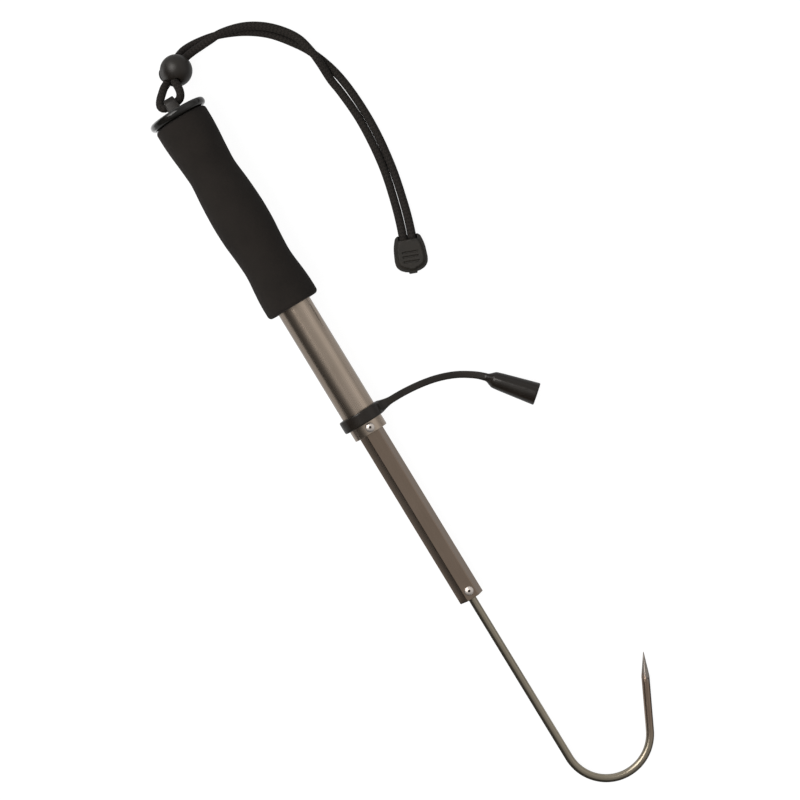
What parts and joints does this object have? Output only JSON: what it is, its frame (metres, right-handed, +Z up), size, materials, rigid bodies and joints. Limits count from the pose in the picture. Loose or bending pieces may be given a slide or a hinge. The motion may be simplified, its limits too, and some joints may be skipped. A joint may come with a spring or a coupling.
{
  "type": "telescopic fishing gaff",
  "caption": "Hand gaff with a hooked hexagonal inner tube that slides in a round grip tube, a tethered point protector and a wrist lanyard with a ball lock.",
  "frame": {"origin": "on the table, under the middle of the gaff's box with the lanyard left out", "axes": "+X along the gaff from the end cap to the hook, +Y towards the side of the hook's point, +Z up from the table"},
  "size_m": [0.5271, 0.1234, 0.0411],
  "materials": {
    "anodised_tube": "satin anodised, brown-grey",
    "foam": "matt closed-cell foam",
    "cap_plastic": "glossy",
    "eye_metal": "dark coated",
    "steel": "plain",
    "hook_steel": "polished, a little warm",
    "rivet_metal": "bright",
    "nylon": "moulded",
    "rubber": "soft, slight sheen",
    "cord": "braided, matt",
    "ball_plastic": "semi-gloss",
    "clip_plastic": "fine grained"
  },
  "bodies": {
    "handle": {"outer_tube": "anodised_tube", "grip": "foam", "end_cap": "cap_plastic", "lanyard_eye": "eye_metal", "eye_washer": "steel", "eye_nut": "steel", "guide_bush": "nylon", "guide_rivet": "rivet_metal", "guide_rivet_mandrel": "steel", "lanyard_strand_lower": "cord", "lanyard_strand_upper": "cord", "lanyard_eye_loop": "cord", "lanyard_pinched_lower": "cord", "lanyard_pinched_upper": "cord", "cord_lock_body": "ball_plastic", "cord_lock_spring": "steel", "cord_end_tray": "clip_plastic", "cord_end_lid": "clip_plastic"},
    "pole": {"inner_tube": "anodised_tube", "slide_piston": "nylon", "friction_ring_1": "rubber", "friction_ring_2": "rubber", "piston_pin": "steel", "hook_plug": "nylon", "hook": "hook_steel", "hook_washer": "steel", "hook_nut": "steel", "hook_rivet": "rivet_metal", "hook_rivet_mandrel": "steel"},
    "protector_collar": {"protector_ring": "rubber"},
    "protector": {"protector_tether": "rubber", "protector_socket": "rubber"},
    "lock_button": {"cord_lock_button": "ball_plastic"}
  },
  "joints": [
    {"name": "pole_slide", "type": "slide", "parent": "handle", "child": "pole", "axis": [0.9993, 0, -0.037], "range_m": [-0.11, 0]},
    {"name": "protector_swivel", "type": "hinge", "parent": "handle", "child": "protector_collar", "pos_m": [-0.02365, -0.04285, 0.01427], "axis": [0.9993, 0, -0.037], "continuous": true},
    {"name": "tether_flex", "type": "hinge", "parent": "protector_collar", "child": "protector", "pos_m": [-0.02365, -0.02295, 0.01427], "axis": [0.037, 0, 0.9993], "range_deg": [-30, 30], "stiffness_Nm_per_rad": 0.01},
    {"name": "cord_lock_press", "type": "slide", "parent": "handle", "child": "lock_button", "axis": [0.2145, 0.6141, 0.7595], "range_m": [0, 0.0018], "stiffness_N_per_m": 1200, "springref_m": -0.0015, "deforming": ["cord_lock_spring"]}
  ]
}
